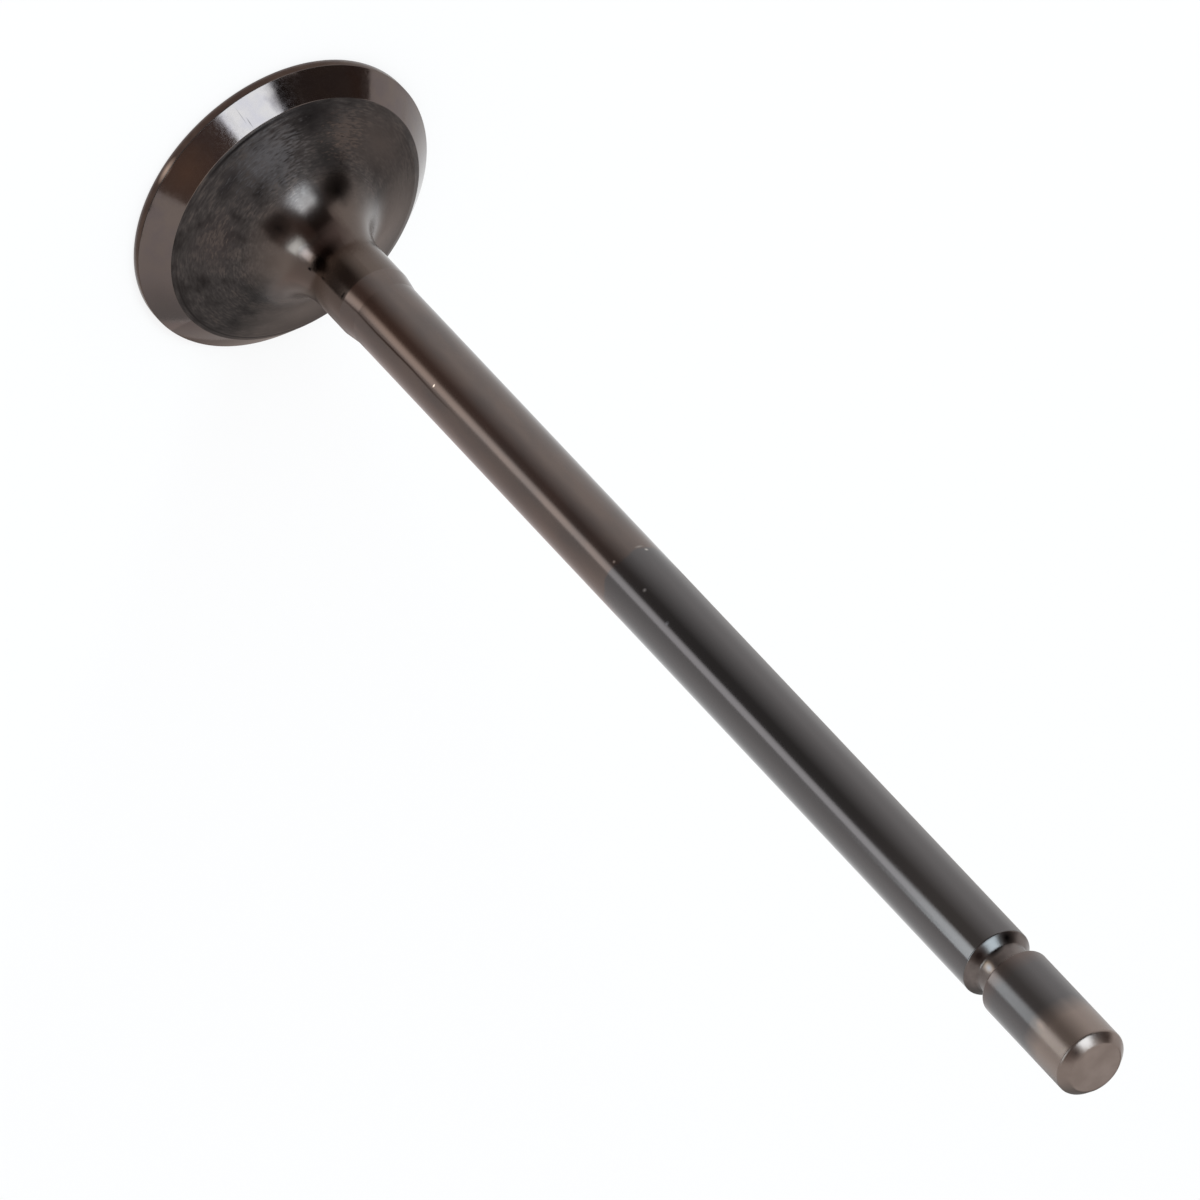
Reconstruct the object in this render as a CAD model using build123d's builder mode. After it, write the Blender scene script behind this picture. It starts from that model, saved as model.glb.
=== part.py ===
from build123d import *
import os
from math import radians, tan

# Engine poppet valve with a tulip head, turned and ground from one welded steel blank.
# Millimetres. The origin is the centre of the combustion face, and +Z runs up the stem to its tip.

# Overall
valve_length = 139.8
head_diameter = 31.2
stem_diameter = 7.0

# Head: a cylindrical margin, the ground seat, a narrow back cut, then the tulip back
margin_height = 1.0
face_edge_break = 0.15
seat_width = 2.18                # across the radius, as the back cut's
back_cut_width = 0.72
seat_angle = 45.0                # from the plane of the combustion face, as the next two
back_cut_angle = 30.0
tulip_angle = 22.0
tulip_radius = 8.5               # sweeps from the back of the head up into the neck

# Neck: a little thicker than the ground stem, which starts at the top of a short taper
neck_diameter = 7.6
neck_height = 17.3
neck_taper_length = 2.0
neck_blend_radius = 1.0

# Keeper groove: a conical flank towards the head, a straight bottom and a steep shoulder towards the tip
groove_height_below_tip = 14.55  # from the tip to the middle of the bottom
groove_depth = 0.9
groove_bottom_width = 1.8
groove_flank_angle = 45.0        # from the plane across the stem, as the shoulder's
groove_shoulder_angle = 20.0
groove_corner_radius = 0.5
groove_edge_radius = 0.25

# Tip
tip_chamfer = 0.9

# Radii and heights that follow from the sizes above
head_radius = head_diameter / 2
seat_inner_radius = head_radius - seat_width
back_cut_inner_radius = seat_inner_radius - back_cut_width
neck_radius = neck_diameter / 2
stem_radius = stem_diameter / 2
seat_top = margin_height + seat_width * tan(radians(seat_angle))
back_cut_top = seat_top + back_cut_width * tan(radians(back_cut_angle))
tulip_corner_height = back_cut_top + (back_cut_inner_radius - neck_radius) * tan(radians(tulip_angle))
stem_start = neck_height + neck_taper_length
groove_height = valve_length - groove_height_below_tip
groove_bottom_radius = stem_radius - groove_depth
groove_bottom_low = groove_height - groove_bottom_width / 2
groove_bottom_high = groove_height + groove_bottom_width / 2
groove_start = groove_bottom_low - groove_depth * tan(radians(groove_flank_angle))
groove_end = groove_bottom_high + groove_depth * tan(radians(groove_shoulder_angle))

with BuildPart() as valve:
    # Half section of the whole valve, with sharp corners where the tulip and the neck will blend
    with BuildSketch(Plane.XZ) as half_section:
        with BuildLine():
            Polyline(
                (0, 0),
                (head_radius, 0),
                (head_radius, margin_height),
                (seat_inner_radius, seat_top),
                (back_cut_inner_radius, back_cut_top),
                (neck_radius, tulip_corner_height),
                (neck_radius, neck_height),
                (stem_radius, stem_start),
                (stem_radius, valve_length),
                (0, valve_length),
                close=True,
            )
        make_face()
        tulip_corner = half_section.vertices().sort_by_distance((neck_radius, tulip_corner_height))[0]
        fillet(tulip_corner, radius=tulip_radius)
        neck_corners = half_section.vertices().filter_by_position(Axis.Y, neck_height, stem_start)
        fillet(neck_corners, radius=neck_blend_radius)

        # The keeper groove, with rounded corners at its bottom and rounded edges
        with BuildLine():
            Polyline(
                (stem_radius, groove_start),
                (groove_bottom_radius, groove_bottom_low),
                (groove_bottom_radius, groove_bottom_high),
                (stem_radius, groove_end),
                close=True,
            )
        make_face(mode=Mode.SUBTRACT)
        groove_corners = half_section.vertices().filter_by_position(Axis.Y, groove_start, groove_end)
        fillet(groove_corners.group_by(Axis.X)[0], radius=groove_corner_radius)
        groove_corners = half_section.vertices().filter_by_position(Axis.Y, groove_start, groove_end)
        fillet(groove_corners.group_by(Axis.X)[-1], radius=groove_edge_radius)
    revolve(axis=Axis.Z)

    # Chamfered tip, and the small break at the edge of the combustion face
    chamfer(valve.faces().sort_by(Axis.Z)[-1].edges(), length=tip_chamfer)
    chamfer(valve.faces().sort_by(Axis.Z)[0].edges(), length=face_edge_break)

valve.part.label = "valve"

os.makedirs("parts", exist_ok=True)
export_step(valve.part, "parts/valve.step")
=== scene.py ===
from math import atan, ceil, cos, pi, radians, sin, tan

import bmesh
import bpy
from mathutils import Matrix, Vector


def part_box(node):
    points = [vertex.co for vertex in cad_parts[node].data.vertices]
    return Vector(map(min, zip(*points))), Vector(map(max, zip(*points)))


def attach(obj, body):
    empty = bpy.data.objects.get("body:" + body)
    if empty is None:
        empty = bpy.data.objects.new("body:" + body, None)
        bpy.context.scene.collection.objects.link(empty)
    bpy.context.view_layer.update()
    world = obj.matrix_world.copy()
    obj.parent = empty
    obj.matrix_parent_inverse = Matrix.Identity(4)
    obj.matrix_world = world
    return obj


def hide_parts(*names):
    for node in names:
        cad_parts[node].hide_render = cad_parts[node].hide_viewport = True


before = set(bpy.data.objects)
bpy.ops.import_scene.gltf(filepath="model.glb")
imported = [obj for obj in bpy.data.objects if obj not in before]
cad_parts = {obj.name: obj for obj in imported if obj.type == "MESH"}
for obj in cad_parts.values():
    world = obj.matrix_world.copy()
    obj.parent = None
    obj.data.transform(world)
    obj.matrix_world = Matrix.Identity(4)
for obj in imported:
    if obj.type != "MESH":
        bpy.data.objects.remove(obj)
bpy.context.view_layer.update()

# An engine valve that stands on its head: the origin is the centre of the combustion face, and +Z runs
# up the stem. Sizes are in millimetres, angles in degrees. Azimuth 0 is the camera's side, and it grows
# towards +X.
MM = 0.001

# Sizes of the valve
MARGIN_HEIGHT = 1.0
FACE_EDGE_BREAK = 0.15
SEAT_WIDTH = 2.18
SEAT_ANGLE = 45.0
BACK_CUT_WIDTH = 0.72
BACK_CUT_ANGLE = 30.0
TULIP_ANGLE = 22.0
TULIP_RADIUS = 8.5
NECK_RADIUS = 3.8
NECK_HEIGHT = 17.3
NECK_TAPER_LENGTH = 2.0
NECK_BLEND_RADIUS = 1.0
STEM_RADIUS = 3.5
GROOVE_HEIGHT_BELOW_TIP = 14.55
GROOVE_BOTTOM_WIDTH = 1.8
GROOVE_DEPTH = 0.9
GROOVE_FLANK_ANGLE = 45.0
GROOVE_SHOULDER_ANGLE = 20.0
GROOVE_CORNER_RADIUS = 0.5
GROOVE_EDGE_RADIUS = 0.25
TIP_CHAMFER = 0.9
WORN_EDGE = 0.06                 # how far the ground edges are rounded off
WORN_TIP_EDGE = 0.18             # and how far the edges of the tip's chamfer are

# How finely the surface is divided
RING_STEPS = 256
ARC_STEP = 2.5
EDGE_SEGMENTS = 3
GROOVE_SEGMENTS = 8
SHARP_ANGLE = 35.0               # steeper edges than this stay crisp

# How near a vertex or a face has to be to count as in its place
RING_TOLERANCE = 0.01
MERGE_DISTANCE = 0.001
FACE_TOLERANCE = 0.001

# Where the finish of the stem changes, as heights
WELD_HEIGHT = 62.7
TINT_HEIGHT = 134.2

# Where the polish of the stem and the scale on the back of the head change, as distances along the outline
POLISH_START, POLISH_END = 25.0, 75.0
SCALE_START, SCALE_END = -3.5, -1.0
NECK_WEAR_END = 8.0

# Stains and marks of use, and patches of painted light and shade where said: colour, then the centre and
# half size, both as an azimuth and a distance along the outline, which is height less radius, and last the
# share of it that its soft edge takes up
SEAT_STAINS = (
    ("#79675c", (17, -12.4), (13, 4.0), 0.9),
    ("#5f4f48", (-61, -12.4), (4, 4.0), 0.9),
    ("#332b29", (-28, -12.2), (6.5, 4.0), 1.0),
    ("#5d5350", (76, -12.4), (34, 6.0), 1.0),
)
SEAT_SCRATCHES_AND_GLINT = (
    ("#3c3634", (-12.4, -11.3), (0.25, 1.0), 1.0),
    ("#4a4341", (-11.2, -12.6), (0.2, 1.6), 1.0),
    # a painted glint at the seat's outer edge, beside the rim's
    ("#b4a49b", (21, -14.5), (3, 0.2), 1.0),
)
# A painted glint: a near-white mark on a worn spot of the rim's edge, standing in for the light it catches
RIM_WORN_SPOT_AND_PAINTED_GLINT = (
    ("#f0e2da", (21, -14.85), (6, 0.4), 1.0),
)
BACK_STAINS_AND_DARK_REFLECTIONS = (
    ("#4d4440", (-84, -6.0), (34, 5.0), 1.0),
    ("#1b1818", (-37, -8.4), (18, 3.4), 1.0),
    ("#2a2726", (-46, -3.0), (16, 4.5), 1.0),
    # a painted dark reflection, on one side of the sweep's highlight
    ("#211d1c", (-53, 1.3), (18, 2.6), 1.0),
    ("#2f2b2b", (9, -7.4), (10, 1.6), 1.0),
    # a painted dark reflection, on the other side of the sweep's highlight
    ("#2b2726", (18, 1.4), (15, 2.0), 1.0),
    ("#413a39", (44, -5.0), (24, 3.6), 1.0),
    ("#443834", (-18, 6.4), (34, 4.6), 0.7),
    # these two make the back lighter towards azimuth 150 on both sides
    ("#80756f", (150, -5.0), (45, 8.0), 1.0),
    ("#80756f", (-150, -5.0), (45, 8.0), 1.0),
)
BACK_FLAKES = (
    ("#5a5758", (-11, -6.0), (20, 4.4), 1.0),
    ("#574d48", (42, -5.2), (13, 1.6), 1.0),
    ("#584c46", (-58, -5.6), (10, 3.6), 1.0),
)
# Painted light on the neck: a light patch that stands in for a highlight, and two dark patches next to it,
# further up the neck, that stand in for dark reflections
NECK_PAINTED_HIGHLIGHT_AND_SHADE = (
    ("#877e7b", (20, 6.3), (14, 1.1), 0.8),
    ("#392e2a", (-4, 8.1), (30, 1.5), 0.7),
    ("#1e1714", (18, 8.7), (15, 1.5), 0.6),
)
NECK_PITS = (
    ("#0c0808", (34.5, 7.7), (2.4, 0.35), 0.6),
    ("#120c0b", (30, 9.8), (2.4, 0.4), 0.8),
    ("#120c0b", (26, 13.1), (8, 0.2), 0.7),
)
# Darker patches along the narrow back-cut band between the seat and the sweep
BACK_CUT_DARK_BANDS = (
    ("#1a1716", (-6, -9.75), (34, 0.3), 0.8),
    ("#262120", (120, -9.55), (80, 0.2), 0.6),
)
STEM_STAINS_AND_DARK_LINE = (
    ("#6a5950", (9, 20.0), (26, 20.0), 0.9),
    # a painted dark reflection: a narrow dark line up the lower stem, at the edge of its light streak
    ("#3c2f29", (29.5, 22.0), (2.6, 13.0), 0.8),
)
STEM_NICKS = (
    ("#e8d8c8", (21, 28.7), (3.5, 0.12), 0.7),
    ("#b4aea8", (-48, 59.4), (4, 0.22), 1.0),
    ("#8c8681", (-41, 58.8), (9, 0.18), 1.0),
    ("#d4d4d4", (1, 63.7), (4, 0.26), 0.9),
    ("#d8d0c8", (5, 58.8), (3, 0.22), 0.8),
    ("#9c9ca0", (10, 68.3), (4, 0.3), 0.9),
    ("#8a7b73", (15, 131.2), (9, 0.9), 1.0),
)
# Painted light in the keeper groove: light patches that stand in for its two highlights, and dark patches
# round them that stand in for dark reflections
GROOVE_PAINTED_HIGHLIGHTS_AND_SHADE = (
    ("#5b5755", (-15, 120.8), (24, 1.6), 0.3),
    ("#2a2524", (-15, 119.8), (26, 0.5), 1.0),
    ("#2a2524", (-15, 121.8), (26, 0.5), 1.0),
    ("#171413", (-45, 120.8), (18, 1.5), 0.9),
    ("#352c2a", (13, 120.8), (19, 1.3), 0.8),
    ("#93806f", (17, 122.5), (13, 0.9), 0.7),
    ("#8c8b8f", (18, 122.6), (10, 0.6), 0.9),
)
# Painted shade on the tip's chamfer: dark patches on both sides of its highlight, which narrow it and stand
# in for dark reflections
TIP_PAINTED_SHADE = (
    ("#6b5d56", (-58, 136.3), (17, 0.9), 0.9),
    ("#4f443f", (6, 136.3), (14, 1.2), 1.0),
)

# The camera
CAMERA_ELEVATION = 39.66
CAMERA_ROLL = 136.77
CAMERA_DISTANCE = 1980.0
CAMERA_LENS = 655.3
CAMERA_SENSOR = 36.0
CAMERA_AIM = (3.6, -0.9, 62.3)

# The studio
FLOOR_GAP = 0.05                 # how far the floor lies below the combustion face
FLOOR_REACH = 4000.0             # from the valve to each edge of the floor
PAPER_GLOW = 0.8                 # how much of the paper's look is its own white
CARD_HEIGHT = 0.1
STRIP_HEIGHT = 0.3
FAR_CARDS = 1600                 # how far from the valve the farthest cards reach or stand
SOFTBOX_WIDTH = 800.0
SOFTBOX_DEPTH = 720.0
SOFTBOX_DISTANCE = 1500.0
SOFTBOX_AZIMUTH = -33
SOFTBOX_ELEVATION = 44
SOFTBOX_WATTS = 14.0

# Sizes that follow from the ones above and from the frame
_, valve_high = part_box("valve")
valve_length = valve_high.z / MM
head_radius = valve_high.x / MM
seat_inner_radius = head_radius - SEAT_WIDTH
seat_top = MARGIN_HEIGHT + SEAT_WIDTH * tan(radians(SEAT_ANGLE))
back_cut_inner_radius = seat_inner_radius - BACK_CUT_WIDTH
back_cut_top = seat_top + BACK_CUT_WIDTH * tan(radians(BACK_CUT_ANGLE))
tulip_turn = 90.0 - TULIP_ANGLE
tulip_corner_height = back_cut_top + (back_cut_inner_radius - NECK_RADIUS) * tan(radians(TULIP_ANGLE))
tulip_top = tulip_corner_height + TULIP_RADIUS * tan(radians(tulip_turn / 2))
stem_start = NECK_HEIGHT + NECK_TAPER_LENGTH
groove_radius = STEM_RADIUS - GROOVE_DEPTH
groove_height = valve_length - GROOVE_HEIGHT_BELOW_TIP
groove_bottom_low = groove_height - GROOVE_BOTTOM_WIDTH / 2
groove_bottom_high = groove_height + GROOVE_BOTTOM_WIDTH / 2
groove_start = groove_bottom_low - GROOVE_DEPTH * tan(radians(GROOVE_FLANK_ANGLE))
groove_end = groove_bottom_high + GROOVE_DEPTH * tan(radians(GROOVE_SHOULDER_ANGLE))
tip_radius = STEM_RADIUS - TIP_CHAMFER
chamfer_start = valve_length - TIP_CHAMFER


def linear(hex_colour):
    """An sRGB hex colour as the linear RGBA that Blender's sockets take."""
    channels = [int(hex_colour[i:i + 2], 16) / 255 for i in (1, 3, 5)]
    return (*[c / 12.92 if c <= 0.04045 else ((c + 0.055) / 1.055) ** 2.4 for c in channels], 1.0)


def add(tree, kind, inputs=None, **settings):
    """Adds one node with its settings; each input is a value, or an output of another node to link."""
    made = tree.nodes.new(kind)
    for name, value in settings.items():
        setattr(made, name, value)
    for socket, value in (inputs or {}).items():
        if isinstance(value, bpy.types.NodeSocket):
            tree.links.new(value, made.inputs[socket])
        else:
            made.inputs[socket].default_value = value
    return made


# The half section, drawn from the combustion face up to the tip


def run_to(mesh, end, radius, height):
    """Draws the outline straight on to a point."""
    drawn = bmesh.ops.extrude_vert_indiv(mesh, verts=[end])["verts"][0]
    drawn.co = (radius * MM, 0, height * MM)
    return drawn


def sweep_into_neck(mesh, end):
    """Draws the outline on round the hollow curve of the tulip."""
    turn = radians(tulip_turn)
    centre = (NECK_RADIUS + TULIP_RADIUS, tulip_top)
    end = run_to(mesh, end, centre[0] - TULIP_RADIUS * cos(turn), centre[1] - TULIP_RADIUS * sin(turn))
    swept = bmesh.ops.spin(
        mesh,
        geom=[end],
        cent=(centre[0] * MM, 0, centre[1] * MM),
        axis=(0, 1, 0),
        angle=turn,
        steps=ceil(tulip_turn / ARC_STEP),
    )
    return next(item for item in swept["geom_last"] if isinstance(item, bmesh.types.BMVert))


def draw_head(mesh):
    """Draws the combustion face, the margin, the seat, the back cut and the tulip back."""
    end = mesh.verts.new((0, 0, 0))
    end = run_to(mesh, end, head_radius - FACE_EDGE_BREAK, 0)
    end = run_to(mesh, end, head_radius, FACE_EDGE_BREAK)
    end = run_to(mesh, end, head_radius, MARGIN_HEIGHT)
    end = run_to(mesh, end, seat_inner_radius, seat_top)
    end = run_to(mesh, end, back_cut_inner_radius, back_cut_top)
    return sweep_into_neck(mesh, end)


def draw_stem(mesh, end):
    """Draws the neck, the ground stem and the keeper groove, still with sharp corners."""
    end = run_to(mesh, end, NECK_RADIUS, NECK_HEIGHT)
    end = run_to(mesh, end, STEM_RADIUS, stem_start)
    end = run_to(mesh, end, STEM_RADIUS, groove_start)
    end = run_to(mesh, end, groove_radius, groove_bottom_low)
    end = run_to(mesh, end, groove_radius, groove_bottom_high)
    return run_to(mesh, end, STEM_RADIUS, groove_end)


def draw_tip(mesh, end):
    """Draws the end of the stem, its chamfer and the tip's face."""
    end = run_to(mesh, end, STEM_RADIUS, chamfer_start)
    end = run_to(mesh, end, tip_radius, valve_length)
    return run_to(mesh, end, 0, valve_length)


def ring(mesh, radius, height):
    """The edges of the ring at this radius and height."""
    def on_ring(vert):
        off = Vector((vert.co.xy.length - radius * MM, vert.co.z - height * MM))
        return off.length < RING_TOLERANCE * MM
    return [edge for edge in mesh.edges if all(on_ring(vert) for vert in edge.verts)]


def round_ring(mesh, radius, height, width, segments=EDGE_SEGMENTS):
    """Rounds the corner of a ring, as far as width along the faces on each side of it."""
    bmesh.ops.bevel(
        mesh,
        geom=ring(mesh, radius, height),
        offset=width * MM,
        offset_type="OFFSET",
        segments=segments,
        profile=0.5,
        affect="EDGES",
        material=-1,
    )


def round_neck(mesh):
    """Blends the taper into the neck below it and the ground stem above it."""
    half_turn = atan((NECK_RADIUS - STEM_RADIUS) / NECK_TAPER_LENGTH) / 2
    for radius, height in ((NECK_RADIUS, NECK_HEIGHT), (STEM_RADIUS, stem_start)):
        round_ring(mesh, radius, height, NECK_BLEND_RADIUS * tan(half_turn))


def round_groove(mesh):
    """Rounds the two corners at the bottom of the keeper groove, and its two edges."""
    flank_half_turn = radians(90 - GROOVE_FLANK_ANGLE) / 2
    shoulder_half_turn = radians(90 - GROOVE_SHOULDER_ANGLE) / 2
    for radius, height, rounding, half_turn in (
        (groove_radius, groove_bottom_low, GROOVE_CORNER_RADIUS, flank_half_turn),
        (groove_radius, groove_bottom_high, GROOVE_CORNER_RADIUS, shoulder_half_turn),
        (STEM_RADIUS, groove_start, GROOVE_EDGE_RADIUS, flank_half_turn),
        (STEM_RADIUS, groove_end, GROOVE_EDGE_RADIUS, shoulder_half_turn),
    ):
        round_ring(mesh, radius, height, rounding * tan(half_turn), GROOVE_SEGMENTS)


def wear_edges(mesh):
    """Takes the sharpness off the edges of the head and the tip."""
    for radius, height, width in (
        (head_radius - FACE_EDGE_BREAK, 0, WORN_EDGE),
        (head_radius, FACE_EDGE_BREAK, WORN_EDGE),
        (head_radius, MARGIN_HEIGHT, WORN_EDGE),
        (seat_inner_radius, seat_top, WORN_EDGE),
        (back_cut_inner_radius, back_cut_top, WORN_EDGE),
        (STEM_RADIUS, chamfer_start, WORN_TIP_EDGE),
        (tip_radius, valve_length, WORN_TIP_EDGE),
    ):
        round_ring(mesh, radius, height, width)


def valve_mesh(finish_tops):
    """The whole valve, turned from its half section, with its finishes in bands up to these heights."""
    mesh = bmesh.new()
    end = draw_head(mesh)
    end = draw_stem(mesh, end)
    draw_tip(mesh, end)
    bmesh.ops.spin(
        mesh,
        geom=mesh.verts[:] + mesh.edges[:],
        cent=(0, 0, 0),
        axis=(0, 0, 1),
        angle=2 * pi,
        steps=RING_STEPS,
        use_merge=True,
    )
    bmesh.ops.remove_doubles(mesh, verts=mesh.verts[:], dist=MERGE_DISTANCE * MM)
    round_neck(mesh)
    round_groove(mesh)
    wear_edges(mesh)
    bmesh.ops.recalc_face_normals(mesh, faces=mesh.faces[:])
    for face in mesh.faces:
        face.smooth = True
        height = face.calc_center_median().z / MM
        face.material_index = sum(height > top for top in finish_tops)
    made = bpy.data.meshes.new("valve_turned")
    mesh.to_mesh(made)
    mesh.free()
    return made


# What the finishes are made of


def new_finish(name):
    """An empty material, and the node tree that fills it."""
    material = bpy.data.materials.new(name)
    material.use_nodes = True
    tree = material.node_tree
    tree.nodes.clear()
    return material, tree


def surface_coordinates(tree):
    """Where a point is on the valve: the way out from the axis as a unit vector, and its polar place.

    The polar place is the azimuth in degrees, then the height less the radius in millimetres, which grows
    along the outline, from the rim of the head up the back and the stem to the middle of the tip.
    """
    metres = add(tree, "ShaderNodeTexCoord").outputs["Object"]
    place = add(tree, "ShaderNodeVectorMath", {0: metres, "Scale": 1 / MM}, operation="SCALE").outputs[0]
    flat = add(tree, "ShaderNodeVectorMath", {0: place, 1: (1, 1, 0)}, operation="MULTIPLY").outputs[0]
    outward = add(tree, "ShaderNodeVectorMath", {0: flat}, operation="NORMALIZE").outputs[0]
    radius = add(tree, "ShaderNodeVectorMath", {0: flat}, operation="LENGTH").outputs["Value"]
    split = add(tree, "ShaderNodeSeparateXYZ", {0: place}).outputs
    along = add(tree, "ShaderNodeMath", {0: split["Z"], 1: radius}, operation="SUBTRACT").outputs[0]
    nearer = add(tree, "ShaderNodeMath", {0: split["Y"], 1: -1.0}, operation="MULTIPLY").outputs[0]
    turn = add(tree, "ShaderNodeMath", {0: split["X"], 1: nearer}, operation="ARCTAN2").outputs[0]
    azimuth = add(tree, "ShaderNodeMath", {0: turn}, operation="DEGREES").outputs[0]
    polar = add(tree, "ShaderNodeCombineXYZ", {"X": azimuth, "Y": along}).outputs[0]
    return outward, along, polar


def grain(tree, outward, along, frequency, length, detail=3.0):
    """Noise wrapped round the valve, with its frequency round it to the radian, and its length in mm."""
    step = add(tree, "ShaderNodeMath", {0: along, 1: 1 / length}, operation="MULTIPLY").outputs[0]
    lift = add(tree, "ShaderNodeCombineXYZ", {"Z": step}).outputs[0]
    place = add(tree, "ShaderNodeVectorMath", {
        0: outward, 1: (frequency, frequency, 0), 2: lift,
    }, operation="MULTIPLY_ADD").outputs[0]
    return add(tree, "ShaderNodeTexNoise", {"Vector": place, "Scale": 1.0, "Detail": detail}).outputs


def toned(tree, value, start, first, end, second):
    """A colour that passes from the first to the second while a value goes from start to end.

    Each colour is a hex colour, or the output of another node. The colour sockets of a Mix node share their
    names with its sockets for numbers, so they go by their places: 6 and 7 are its inputs, 2 its output.
    """
    share = add(tree, "ShaderNodeMapRange", {
        "Value": value, "From Min": start, "From Max": end,
    }).outputs[0]
    first, second = (linear(tone) if isinstance(tone, str) else tone for tone in (first, second))
    return add(tree, "ShaderNodeMix", {"Factor": share, 6: first, 7: second}, data_type="RGBA").outputs[2]


def shaken(tree, polar, noise, reach):
    """Shakes polar places about by as much as reach, so that the stains and painted patches there come out
    ragged.
    """
    centred = add(tree, "ShaderNodeVectorMath", {
        0: noise, 1: (0.5, 0.5, 0.5),
    }, operation="SUBTRACT").outputs[0]
    return add(tree, "ShaderNodeVectorMath", {
        0: centred, 1: (2 * reach[0], 2 * reach[1], 0), 2: polar,
    }, operation="MULTIPLY_ADD").outputs[0]


def lay_stains_and_painted_light(tree, polar, colour, stains_and_painted_light):
    """Lays stains, and patches of painted light and shade, over a colour, each of them an oval with a soft
    edge.
    """
    for tone, centre, half_size, softness in stains_and_painted_light:
        off = add(tree, "ShaderNodeVectorMath", {
            0: polar, 1: (*centre, 0),
        }, operation="SUBTRACT").outputs[0]
        shape = (1 / half_size[0], 1 / half_size[1], 0)
        oval = add(tree, "ShaderNodeVectorMath", {0: off, 1: shape}, operation="MULTIPLY").outputs[0]
        distance = add(tree, "ShaderNodeVectorMath", {0: oval}, operation="LENGTH").outputs["Value"]
        colour = toned(tree, distance, 1.0, colour, 1.0 - softness, tone)
    return colour


def bare_steel(tree, colour, roughness, relief, relief_height):
    """The metal itself, which ends each finish; the relief's height is in millimetres."""
    bump = add(tree, "ShaderNodeBump", {
        "Height": relief, "Distance": relief_height * MM, "Strength": 1.0,
    })
    shader = add(tree, "ShaderNodeBsdfPrincipled", {
        "Base Color": colour,
        "Metallic": 1.0,
        "Roughness": roughness,
        "Normal": bump.outputs[0],
    })
    add(tree, "ShaderNodeOutputMaterial", {"Surface": shader.outputs["BSDF"]})


# The finishes, from the combustion face up. All are one austenitic valve steel, welded to a hardenable
# steel above the weld, and they differ in how they were cut and in what the heat of the engine left.


def turned_face():
    """Lathe-turned steel baked by the flame: dark brown and half matt, with the rings of the tool.

    The rings are really about 0.1 mm apart, and drawn some 0.6 mm apart, to show.
    """
    material, tree = new_finish("turned_face_steel")
    outward, along, _ = surface_coordinates(tree)
    rings = grain(tree, outward, along, frequency=0.0, length=0.6, detail=0.0)
    place = add(tree, "ShaderNodeTexCoord").outputs["Object"]
    cloud = add(tree, "ShaderNodeTexNoise", {"Vector": place, "Scale": 0.15 / MM, "Detail": 4.0}).outputs
    colour = toned(tree, cloud["Fac"], 0.3, "#453e3b", 0.7, "#5a504b")
    bare_steel(tree, colour, roughness=0.4, relief=rings["Fac"], relief_height=0.006)
    return material


def turned_rim():
    """Fine-turned steel with a brown oxide film: a soft, warm shine round the edge of the head."""
    material, tree = new_finish("turned_rim_steel")
    outward, along, polar = surface_coordinates(tree)
    cloud = grain(tree, outward, along, frequency=12.0, length=0.8)
    colour = toned(tree, cloud["Fac"], 0.35, "#5f5553", 0.65, "#6a5f5b")
    # The near-white mark near azimuth 21 is a painted glint on a worn spot of the edge
    colour = lay_stains_and_painted_light(tree, polar, colour, RIM_WORN_SPOT_AND_PAINTED_GLINT)
    bare_steel(tree, colour, roughness=0.3, relief=cloud["Fac"], relief_height=0.003)
    return material


def ground_seat():
    """Steel ground at 45 degrees and run in by its seat insert, which polishes it nearly to a mirror.

    Its reflections have crisp ends. Heat has left a brown film on it, with darker burns, and the grinding
    lines blur it a little along its width. The real lines are some 0.02 mm apart, and drawn coarser.
    """
    material, tree = new_finish("ground_seat_steel")
    outward, along, polar = surface_coordinates(tree)
    cloud = grain(tree, outward, along, frequency=9.0, length=2.0)
    colour = toned(tree, cloud["Fac"], 0.35, "#625856", 0.65, "#675c57")
    ragged = shaken(tree, polar, cloud["Color"], reach=(4.0, 0.8))
    colour = lay_stains_and_painted_light(tree, ragged, colour, SEAT_STAINS)
    # The pale mark at azimuth 21 among the scratches is a painted glint
    colour = lay_stains_and_painted_light(tree, polar, colour, SEAT_SCRATCHES_AND_GLINT)
    lines = grain(tree, outward, along, frequency=40.0, length=0.6)
    roughness = add(tree, "ShaderNodeMapRange", {
        "Value": lines["Fac"], "From Min": 0.3, "From Max": 0.7, "To Min": 0.09, "To Max": 0.15,
    }).outputs[0]
    bare_steel(tree, colour, roughness, relief=lines["Fac"], relief_height=0.0012)
    return material


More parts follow.
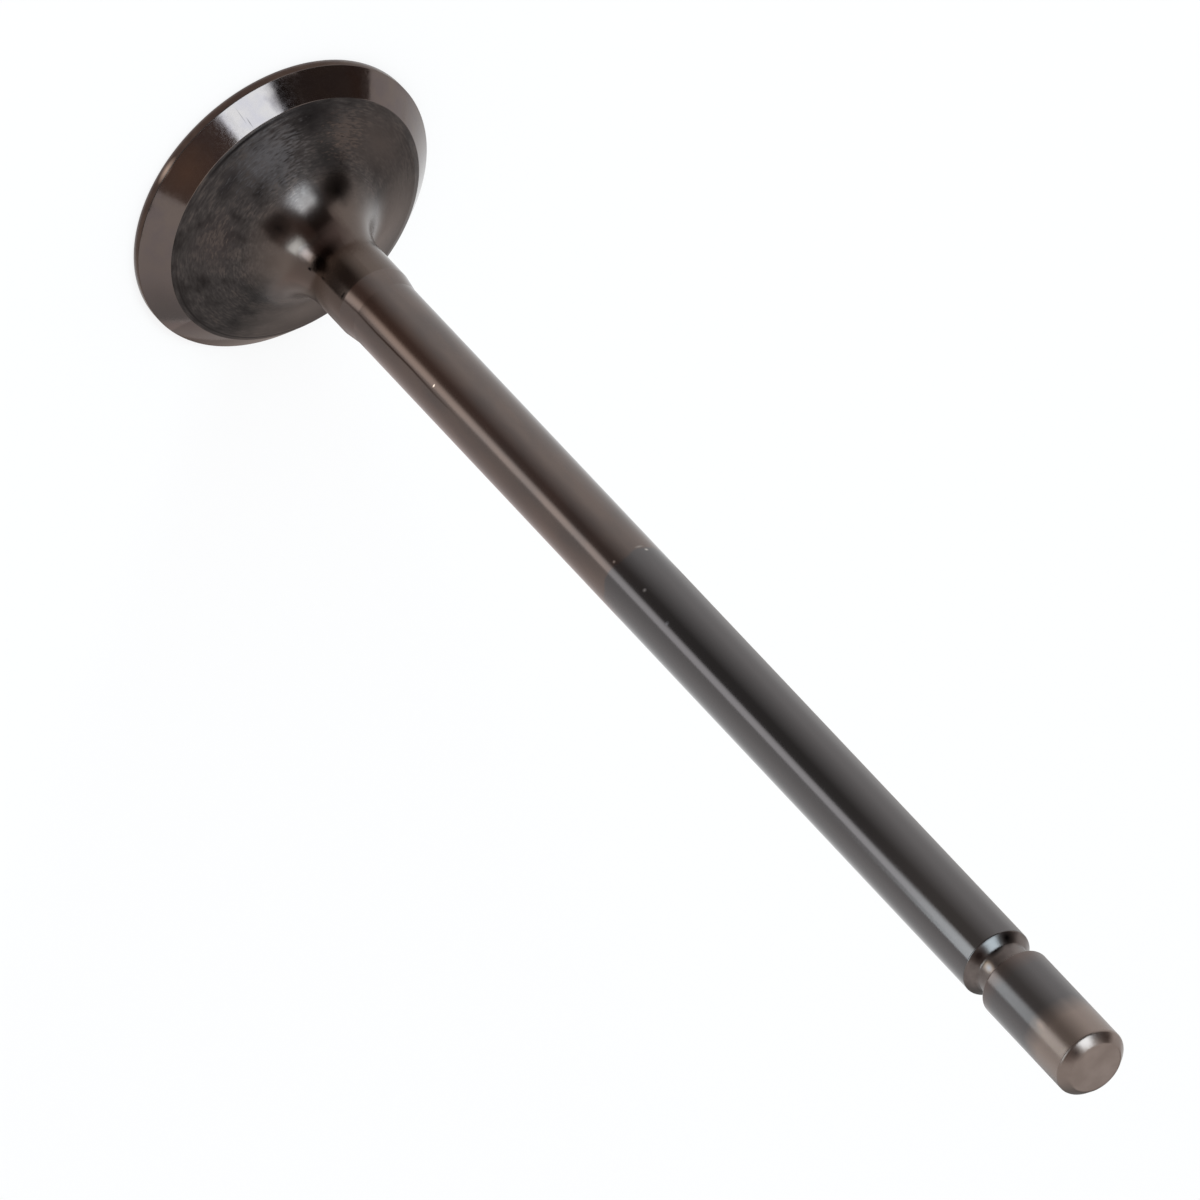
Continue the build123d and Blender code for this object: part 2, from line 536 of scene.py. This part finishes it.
def scaled_back():
    """Forged and turned steel under a baked-on scale of oil and oxide, worn to bare metal in the neck.

    It is charcoal and nearly matt near the seat, with flakes of rust and silver and sooty clouds, and
    turns browner and shinier up the sweep. The strokes in it follow the lathe, 0.2 to 0.3 mm apart. A light
    patch painted on the neck is a highlight, and dark patches painted next to it and beside the sweep's
    highlight are dark reflections.
    """
    material, tree = new_finish("scaled_head_steel")
    outward, along, polar = surface_coordinates(tree)
    strokes = grain(tree, outward, along, frequency=14.0, length=0.25, detail=6.0)
    cloud = grain(tree, outward, along, frequency=4.0, length=2.5, detail=4.0)
    colour = toned(tree, strokes["Fac"], 0.3, "#373231", 0.7, "#4b4644")
    rust = add(tree, "ShaderNodeMath", {0: strokes["Fac"], 1: cloud["Fac"]}, operation="ADD").outputs[0]
    colour = toned(tree, rust, 1.04, colour, 1.7, "#5f534d")
    colour = toned(tree, cloud["Fac"], 0.52, colour, 0.2, "#1c1817")
    colour = toned(tree, along, -2.0, colour, 4.5, "#60554f")
    for stains_and_painted_light, noise, reach in (
        (BACK_STAINS_AND_DARK_REFLECTIONS, cloud, (9.0, 1.2)),
        (BACK_FLAKES, strokes, (30.0, 4.0)),
        (NECK_PAINTED_HIGHLIGHT_AND_SHADE, strokes, (3.0, 0.3)),
        (NECK_PITS, strokes, (2.0, 0.3)),
    ):
        colour = lay_stains_and_painted_light(tree, shaken(tree, polar, noise["Color"], reach), colour, stains_and_painted_light)
    colour = lay_stains_and_painted_light(tree, polar, colour, BACK_CUT_DARK_BANDS)
    scale = add(tree, "ShaderNodeMapRange", {
        "Value": along, "From Min": SCALE_START, "From Max": SCALE_END, "To Min": 0.44, "To Max": 0.265,
    }).outputs[0]
    wear = add(tree, "ShaderNodeMapRange", {
        "Value": along, "From Min": SCALE_END, "From Max": NECK_WEAR_END, "To Max": -0.1,
    }).outputs[0]
    roughness = add(tree, "ShaderNodeMath", {0: scale, 1: wear}, operation="ADD").outputs[0]
    bare_steel(tree, colour, roughness, relief=strokes["Fac"], relief_height=0.004)
    return material


def ground_stem():
    """Centreless-ground steel, polished by its guide: long clean reflections, only a little blurred.

    Below the weld it is brown from heat, above it grey, and straw-brown again where the tip was hardened.
    Past the keeper groove no guide has polished it. The grinding lines are finer than 0.01 mm, and are
    drawn coarser.
    """
    material, tree = new_finish("ground_stem_steel")
    outward, along, polar = surface_coordinates(tree)
    cloud = grain(tree, outward, along, frequency=2.0, length=5.0, detail=4.0)
    ragged = shaken(tree, polar, cloud["Color"], reach=(3.0, 0.9))
    wandering = add(tree, "ShaderNodeSeparateXYZ", {0: ragged}).outputs["Y"]
    weld, tint = WELD_HEIGHT - STEM_RADIUS, TINT_HEIGHT - STEM_RADIUS
    tint_start, tint_end = tint - 0.8, tint + 1.4
    brown = toned(tree, cloud["Fac"], 0.35, "#635b58", 0.65, "#6b605b")
    # Among these stains is a painted dark reflection, a narrow dark line beside the light streak
    brown = lay_stains_and_painted_light(tree, ragged, brown, STEM_STAINS_AND_DARK_LINE)
    colour = toned(tree, wandering, weld - 0.1, brown, weld + 0.2, "#5e5b5b")
    colour = toned(tree, wandering, tint_start, colour, tint_end, "#857871")
    groove_edge = groove_end - STEM_RADIUS
    below = add(tree, "ShaderNodeMapRange", {
        "Value": wandering, "From Min": groove_edge - 2.0, "From Max": groove_edge - 1.0,
    }).outputs[0]
    above = add(tree, "ShaderNodeMapRange", {
        "Value": wandering, "From Min": groove_edge + 1.8, "From Max": groove_edge,
    }).outputs[0]
    beside_groove = add(tree, "ShaderNodeMath", {0: below, 1: above}, operation="MULTIPLY").outputs[0]
    colour = toned(tree, beside_groove, 0.0, colour, 1.0, "#685d59")
    colour = lay_stains_and_painted_light(tree, polar, colour, STEM_NICKS)
    lines = grain(tree, outward, along, frequency=3.0, length=0.12)
    polished = add(tree, "ShaderNodeMapRange", {
        "Value": along, "From Min": POLISH_START, "From Max": POLISH_END, "To Min": 0.21, "To Max": 0.15,
    }).outputs[0]
    past_groove = add(tree, "ShaderNodeMapRange", {
        "Value": along, "From Min": groove_edge - 1.0, "From Max": groove_edge, "To Max": 0.06,
    }).outputs[0]
    hardened = add(tree, "ShaderNodeMapRange", {
        "Value": wandering, "From Min": tint_start, "From Max": tint_end, "To Max": 0.055,
    }).outputs[0]
    roughness = add(tree, "ShaderNodeMath", {0: polished, 1: past_groove}, operation="ADD").outputs[0]
    roughness = add(tree, "ShaderNodeMath", {0: roughness, 1: hardened}, operation="ADD").outputs[0]
    bare_steel(tree, colour, roughness, relief=lines["Fac"], relief_height=0.0008)
    return material


def turned_groove():
    """Form-turned steel where the keepers sit: browner and softer in its shine than the stem, with painted
    highlights and painted dark reflections on it.
    """
    material, tree = new_finish("turned_groove_steel")
    outward, along, polar = surface_coordinates(tree)
    cloud = grain(tree, outward, along, frequency=3.0, length=1.2)
    colour = toned(tree, cloud["Fac"], 0.35, "#605855", 0.65, "#6d6460")
    # The groove's two highlights and the dark reflections round them are painted on here
    colour = lay_stains_and_painted_light(tree, polar, colour, GROOVE_PAINTED_HIGHLIGHTS_AND_SHADE)
    bare_steel(tree, colour, roughness=0.28, relief=cloud["Fac"], relief_height=0.002)
    return material


def lapped_tip():
    """Hardened and lapped steel, straw-tinted by the hardening: evenly matt, with faint dark patches
    painted on the chamfer beside its highlight, as painted shade.
    """
    material, tree = new_finish("lapped_tip_steel")
    _, _, polar = surface_coordinates(tree)
    place = add(tree, "ShaderNodeTexCoord").outputs["Object"]
    cloud = add(tree, "ShaderNodeTexNoise", {"Vector": place, "Scale": 0.4 / MM, "Detail": 3.0}).outputs
    colour = toned(tree, cloud["Fac"], 0.35, "#7b6e67", 0.65, "#877a73")
    ragged = shaken(tree, polar, cloud["Color"], reach=(5.0, 0.3))
    # Painted shade: darker patches on the chamfer at both sides of its highlight
    colour = lay_stains_and_painted_light(tree, ragged, colour, TIP_PAINTED_SHADE)
    bare_steel(tree, colour, roughness=0.3, relief=cloud["Fac"], relief_height=0.006)
    return material


def make_valve():
    """One turned piece, with a finish for each band of it and the stem's on both sides of the groove."""
    finishes = (
        (turned_face(), FACE_TOLERANCE),
        (turned_rim(), MARGIN_HEIGHT + WORN_EDGE),
        (ground_seat(), seat_top),
        (scaled_back(), NECK_HEIGHT - NECK_BLEND_RADIUS / 2),
        (ground_stem(), groove_start),
        (turned_groove(), groove_end),
        (bpy.data.materials["ground_stem_steel"], chamfer_start - WORN_TIP_EDGE),
        (lapped_tip(), valve_length),
    )
    mesh = valve_mesh([top for _, top in finishes[:-1]])
    for finish, _ in finishes:
        mesh.materials.append(finish)
    mesh.set_sharp_from_angle(angle=radians(SHARP_ANGLE))
    valve = bpy.data.objects.new("turned_valve", mesh)
    bpy.context.scene.collection.objects.link(valve)
    normals = valve.modifiers.new("face_weighted_normals", "WEIGHTED_NORMAL")
    normals.keep_sharp = True
    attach(valve, "root")
    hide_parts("valve")


# The studio


def direction(azimuth, elevation):
    """A unit vector, from azimuth 0 at the camera's side round towards +X, and an elevation."""
    a, e = radians(azimuth), radians(elevation)
    return Vector((sin(a) * cos(e), -cos(a) * cos(e), sin(e)))


def make_camera():
    """A long lens from far off, rolled so that the stem runs down to the right."""
    data = bpy.data.cameras.new("camera")
    data.lens = CAMERA_LENS
    data.sensor_width = CAMERA_SENSOR
    camera = bpy.data.objects.new("camera", data)
    bpy.context.scene.collection.objects.link(camera)
    place = (Vector(CAMERA_AIM) + direction(0, CAMERA_ELEVATION) * CAMERA_DISTANCE) * MM
    tilt = Matrix.Rotation(radians(90 - CAMERA_ELEVATION), 4, "X")
    roll = Matrix.Rotation(radians(CAMERA_ROLL), 4, "Z")
    camera.matrix_world = Matrix.Translation(place) @ tilt @ roll
    bpy.context.scene.camera = camera


def staged(name, mesh, material):
    """A floor or a card: an object of the studio, not of the valve."""
    made = bpy.data.meshes.new(name)
    mesh.to_mesh(made)
    mesh.free()
    made.materials.append(material)
    card = bpy.data.objects.new(name, made)
    bpy.context.scene.collection.objects.link(card)
    return card


def white_paper():
    """Matt white paper, shown as white to the camera and in the metal, that still takes a soft shadow.

    Seen from below it is clear, so that it doesn't hide the underside of the valve.
    """
    material, tree = new_finish("white_paper")
    path = add(tree, "ShaderNodeLightPath").outputs
    seen = add(tree, "ShaderNodeMath", {
        0: path["Is Camera Ray"], 1: path["Is Glossy Ray"],
    }, operation="MAXIMUM").outputs[0]
    seen = add(tree, "ShaderNodeMath", {
        0: seen, 1: path["Is Transmission Ray"],
    }, operation="MAXIMUM").outputs[0]
    share = add(tree, "ShaderNodeMath", {0: seen, 1: PAPER_GLOW}, operation="MULTIPLY").outputs[0]
    paper = add(tree, "ShaderNodeBsdfDiffuse", {"Color": linear("#e4e4e4")}).outputs[0]
    white = add(tree, "ShaderNodeEmission", {"Color": linear("#ffffff"), "Strength": 1.0}).outputs[0]
    mixed = add(tree, "ShaderNodeMixShader", {0: share, 1: paper, 2: white}).outputs[0]
    below = add(tree, "ShaderNodeNewGeometry").outputs["Backfacing"]
    clear = add(tree, "ShaderNodeBsdfTransparent").outputs[0]
    one_sided = add(tree, "ShaderNodeMixShader", {0: below, 1: mixed, 2: clear}).outputs[0]
    add(tree, "ShaderNodeOutputMaterial", {"Surface": one_sided})
    return material


def make_floor():
    """The floor, a hair below the combustion face, so that the two don't lie in one plane."""
    mesh = bmesh.new()
    bmesh.ops.create_grid(mesh, x_segments=1, y_segments=1, size=FLOOR_REACH * MM)
    bmesh.ops.translate(mesh, verts=mesh.verts[:], vec=(0, 0, -FLOOR_GAP * MM))
    staged("floor", mesh, white_paper())


def lit_card(name, azimuths, colours, strength=1.0):
    """A card's material, which runs from one colour to another round the valve between two azimuths.

    At a strength of 1 it is paper in white light, and above it a lamp behind a diffuser.
    """
    material, tree = new_finish(name)
    _, _, polar = surface_coordinates(tree)
    azimuth = add(tree, "ShaderNodeSeparateXYZ", {0: polar}).outputs["X"]
    shade = toned(tree, azimuth, azimuths[0], colours[0], azimuths[1], colours[1])
    glow = add(tree, "ShaderNodeEmission", {"Color": shade, "Strength": strength})
    add(tree, "ShaderNodeOutputMaterial", {"Surface": glow.outputs[0]})
    return material


def make_card(name, material, azimuths, inner, outer):
    """A card swept round the valve; inner and outer are the radius and height of its two edges.

    Only the metal sees it, in its reflections.
    """
    mesh = bmesh.new()
    start, finish = azimuths
    ends = [
        mesh.verts.new((direction(start, 0) * radius + Vector((0, 0, height))) * MM)
        for radius, height in (inner, outer)
    ]
    bmesh.ops.spin(
        mesh,
        geom=[*ends, mesh.edges.new(ends)],
        cent=(0, 0, 0),
        axis=(0, 0, 1),
        angle=radians(finish - start),
        steps=ceil(abs(finish - start) / ARC_STEP),
    )
    card = staged(name, mesh, material)
    card.visible_camera = False
    card.visible_diffuse = False
    card.visible_shadow = False
    card.visible_transmission = False


def lying(inner, outer, height=CARD_HEIGHT):
    """The inner and outer edge of a card that lies flat at this height."""
    return (inner, height), (outer, height)


def standing(radius, low, high):
    """The lower and upper edge of a card that stands on end and spans these elevations."""
    return (radius, radius * tan(radians(low))), (radius, radius * tan(radians(high)))


def make_head_cards():
    """Cards close round the head, which its neck sees above the rim."""
    tan_rim = lit_card("tan_rim_paper", (-115, -50), ("#ffffff", "#b3a398"))
    grey_rim = lit_card("grey_rim_paper", (57, 170), ("#b3a398", "#8f8784"))
    dark = lit_card("dark_neck_paper", (-38, -8), ("#e2e0de", "#46403e"))
    grey = lit_card("grey_neck_paper", (112, 160), ("#d0c8c5", "#a39a96"))
    inner, outer = 15.8, 20
    make_card("rim_card", tan_rim, (-115, 57), *lying(inner, outer))
    make_card("rim_side", grey_rim, (57, 179), *lying(inner, outer))
    radius, foot, top, low_top = 19.8, 0.2, 4.8, 4.0
    make_card("neck_flag", dark, (-45, 45), (radius, foot), (radius, top))
    make_card("low_neck_flag", dark, (45, 57), (radius, foot), (radius, low_top))
    make_card("neck_side", grey, (110, 179), (radius, foot), (radius, top))


def make_floor_cards():
    """Cards on the floor, which the stem sees: the nearer ones below its weld, the others above it."""
    near, strip_start, weld, groove, land, edge = 20, 23, 79, 140, 151, 176
    warm = lit_card("warm_fading_paper", (-50, 2), ("#ffffff", "#887975"))
    cool = lit_card("grey_fading_paper", (-74, -6), ("#ffffff", "#716f6e"))
    soft = lit_card("soft_fading_paper", (-66, -12), ("#ffffff", "#a09b97"))
    side = lit_card("pale_side_paper", (44, 110), ("#d2d2d2", "#eadfdc"))
    back_side = lit_card("back_side_paper", (108, 150), ("#ffffff", "#8f8f8f"))
    end_strip = lit_card("end_strip", (18, 28), ("#9a9a9a", "#e8f4f8"), 4.6)
    deep_side = lit_card("grey_side_paper", (44, 90), ("#dcdcdc", "#ffffff"))
    left_side = lit_card("left_side_paper", (-178, -120), ("#97908e", "#ffffff"))
    near_strip = lit_card("near_strip", (22, 32), ("#8f8f8f", "#ffffff"), 1.9)
    far_strip = lit_card("far_strip", (23, 32), ("#9a9a9a", "#fafcff"), 2.1)
    make_card("near_flag", warm, (-80, 44), *lying(near, weld))
    make_card("far_flag", cool, (-75, 44), *lying(weld, groove))
    make_card("end_flag", soft, (-75, 44), *lying(groove, FAR_CARDS))
    make_card("left_side", left_side, (-179, -75), *lying(weld, edge))
    make_card("near_side", side, (44, 179), *lying(near, weld))
    make_card("far_side", deep_side, (44, 100), *lying(weld, FAR_CARDS))
    make_card("back_side", back_side, (100, 179), *lying(edge, FAR_CARDS))
    make_card("near_strip", near_strip, (23, 46), *lying(strip_start, weld, STRIP_HEIGHT))
    make_card("far_strip", far_strip, (24, 46), *lying(weld, land, STRIP_HEIGHT))
    make_card("end_strip", end_strip, (18, 56), *lying(land, edge, STRIP_HEIGHT))


def make_standing_cards():
    """Cards far off on end, which the seat and the sweep of the head see."""
    behind = lit_card("grey_back_paper", (110, 150), ("#ffffff", "#8f8f8f"))
    left = lit_card("dark_left_paper", (-115, -60), ("#6c615d", "#554d4a"))
    left_back = lit_card("left_back_paper", (-170, -140), ("#aa9f9a", "#e8e2df"))
    right = lit_card("brown_right_paper", (-12, 57), ("#84746f", "#96867f"))
    daylight = lit_card("window_light", (16, 34), ("#70787c", "#d4e9f3"), 6.0)
    make_card("low_light", daylight, (16, 54), *standing(FAR_CARDS - 20, 0, 13))
    make_card("left_back_flag", left_back, (-179, -142), *standing(FAR_CARDS, 0, 26))
    make_card("far_left_flag", left, (-115, -60), *standing(FAR_CARDS, 14, 43))
    make_card("left_flag", left, (-60, -12), *standing(FAR_CARDS, 0, 54))
    make_card("right_back_flag", behind, (108, 179), *standing(FAR_CARDS, 0, 26))
    make_card("right_flag", right, (-12, 57), *standing(FAR_CARDS, 0, 54))


def make_softbox():
    """The one lamp, a soft daylight from high up on the -X side of the camera."""
    lamp = bpy.data.lights.new("softbox", "AREA")
    lamp.shape = "RECTANGLE"
    lamp.size = SOFTBOX_WIDTH * MM
    lamp.size_y = SOFTBOX_DEPTH * MM
    lamp.energy = SOFTBOX_WATTS
    lamp.color = linear("#d4ebf9")[:3]
    softbox = bpy.data.objects.new("softbox", lamp)
    bpy.context.scene.collection.objects.link(softbox)
    away = direction(SOFTBOX_AZIMUTH, SOFTBOX_ELEVATION)
    softbox.location = away * (SOFTBOX_DISTANCE * MM)
    softbox.rotation_mode = "QUATERNION"
    softbox.rotation_quaternion = away.to_track_quat("Z", "Y")


def make_world():
    """An even white surround."""
    world = bpy.data.worlds.new("white_surround")
    world.use_nodes = True
    background = world.node_tree.nodes["Background"]
    background.inputs["Color"].default_value = linear("#ffffff")
    background.inputs["Strength"].default_value = 1.0
    bpy.context.scene.world = world


make_camera()
make_world()
make_floor()
make_head_cards()
make_floor_cards()
make_standing_cards()
make_softbox()
make_valve()

bpy.context.scene.view_settings.view_transform = "Standard"
